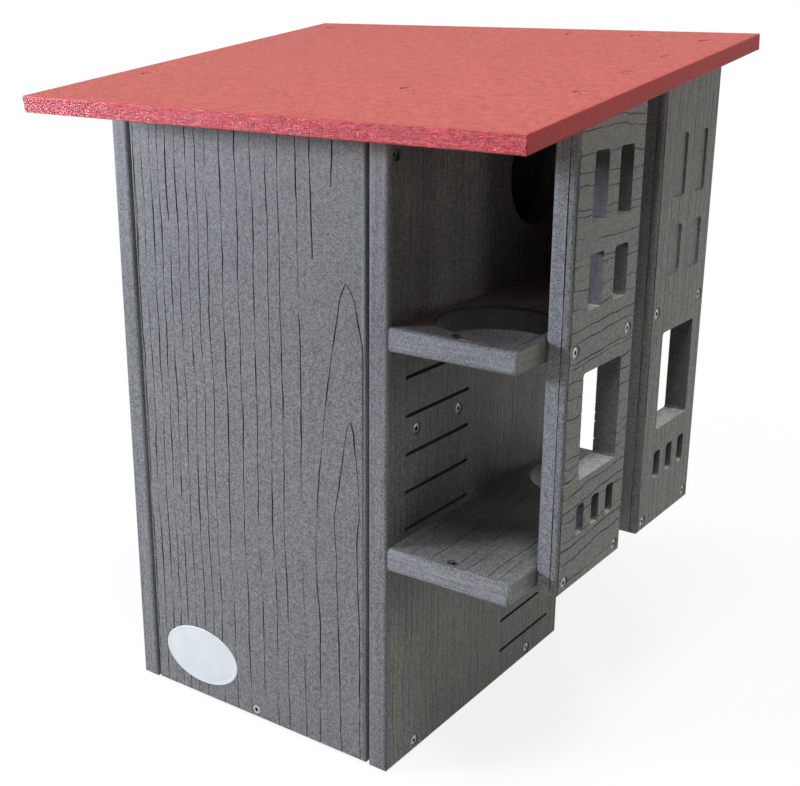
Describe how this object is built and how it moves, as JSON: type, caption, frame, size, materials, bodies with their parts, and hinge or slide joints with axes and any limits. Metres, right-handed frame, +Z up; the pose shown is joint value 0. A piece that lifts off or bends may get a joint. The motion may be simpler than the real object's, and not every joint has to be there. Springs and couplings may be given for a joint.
{
  "type": "squirrel nest box",
  "caption": "Tall nest box of recycled-plastic boards with a swing-out front, a sloping red roof and a two-storey windowed porch beside its round entry hole.",
  "frame": {"origin": "middle of the box's footprint between its two side walls, on the face it stands on", "axes": "+X towards the porch, -Y the front that swings open, +Z up"},
  "size_m": [0.443, 0.3796, 0.576],
  "materials": {
    "wall_board": "matte recycled-plastic board with a speckle and a moulded wood grain",
    "door_board": "matte recycled-plastic board with a deep moulded wood grain",
    "facade_board": "matte recycled-plastic board with a fine speckle and moulded grain",
    "roof_board": "fine pebbled recycled-plastic sheet with saw-cut edges",
    "screw_steel": "plain stainless screws",
    "label_white": "blank glossy vinyl label"
  },
  "bodies": {
    "box": {"left_wall": "wall_board", "entry_wall": "wall_board", "back_board": "wall_board", "floor_board": "wall_board", "inner_ledge": "wall_board", "upper_shelf": "wall_board", "lower_shelf": "wall_board", "porch_back": "wall_board", "front_facade": "facade_board", "rear_facade": "facade_board", "roof_board": "roof_board", "roof_wall_screws": "screw_steel", "roof_facade_screws": "screw_steel", "roof_porch_screw": "screw_steel", "facade_upper_screws": "screw_steel", "facade_lower_screws": "screw_steel", "floor_screws": "screw_steel", "ledge_screws": "screw_steel", "back_screws": "screw_steel", "upper_shelf_screws": "screw_steel", "lower_shelf_screws": "screw_steel", "porch_back_screws": "screw_steel", "shelf_end_screws": "screw_steel"},
    "door": {"front_door": "door_board", "oval_label": "label_white", "pivot_screws": "screw_steel"},
    "lock": {"lock_screw": "screw_steel"}
  },
  "joints": [
    {"name": "door_swing", "type": "hinge", "parent": "box", "child": "door", "pos_m": [0, -0.1365, 0.497], "axis": [-1, 0, 0], "range_deg": [0, 90]},
    {"name": "lock_screw_out", "type": "slide", "parent": "door", "child": "lock", "axis": [0, -1, 0], "range_m": [0, 0.03]}
  ]
}
